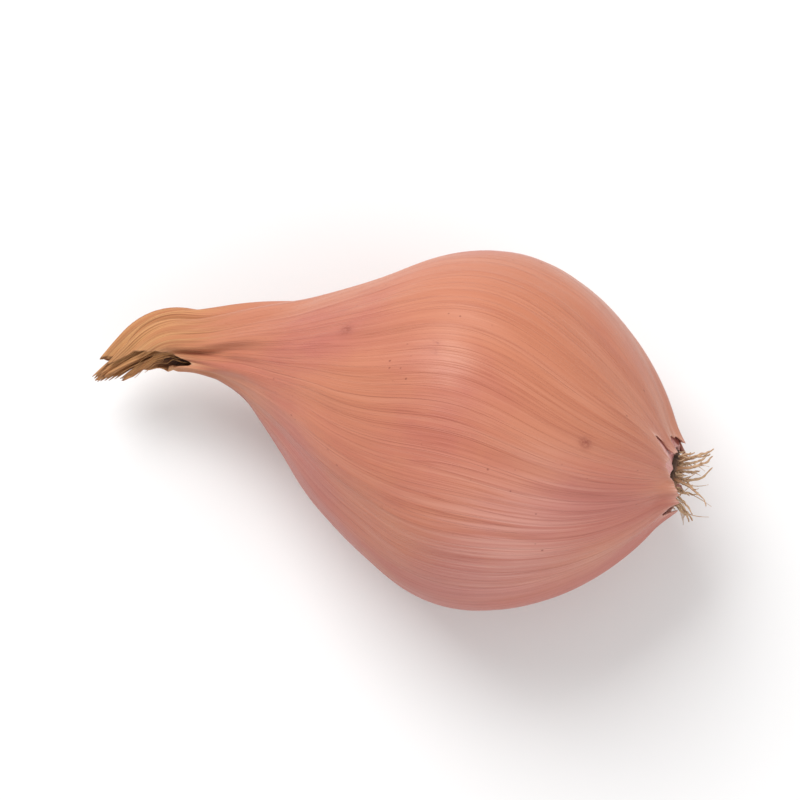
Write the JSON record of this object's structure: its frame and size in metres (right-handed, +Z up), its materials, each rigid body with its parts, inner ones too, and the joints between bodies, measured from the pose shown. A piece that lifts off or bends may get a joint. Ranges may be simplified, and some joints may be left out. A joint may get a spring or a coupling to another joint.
{
  "type": "pink shallot bulb",
  "caption": "A plump pink shallot lying on its side, with a dried, curled neck at one end and a corky root plate with short dry roots at the other.",
  "frame": {"origin": "centre of the overall box, on the surface that the shallot lies on", "axes": "+X along the shallot's length towards the root end, with the dried neck towards -X; +Z up from the surface"},
  "size_m": [0.099, 0.055, 0.0482],
  "materials": {
    "papery_skin": "satin",
    "root_cork": "matte",
    "dry_root": "matte",
    "dry_leaf": "matte"
  },
  "bodies": {
    "root": {"bulb": "papery_skin", "root_plate": "root_cork", "root_01": "dry_root", "root_02": "dry_root", "root_03": "dry_root", "root_04": "dry_root", "root_05": "dry_root", "root_06": "dry_root", "root_07": "dry_root", "root_08": "dry_root", "root_09": "dry_root", "root_10": "dry_root", "root_11": "dry_root", "root_12": "dry_root", "root_13": "dry_root", "root_14": "dry_root", "neck_leaf_1": "dry_leaf", "neck_leaf_2": "dry_leaf", "neck_leaf_3": "dry_leaf"}
  },
  "joints": []
}
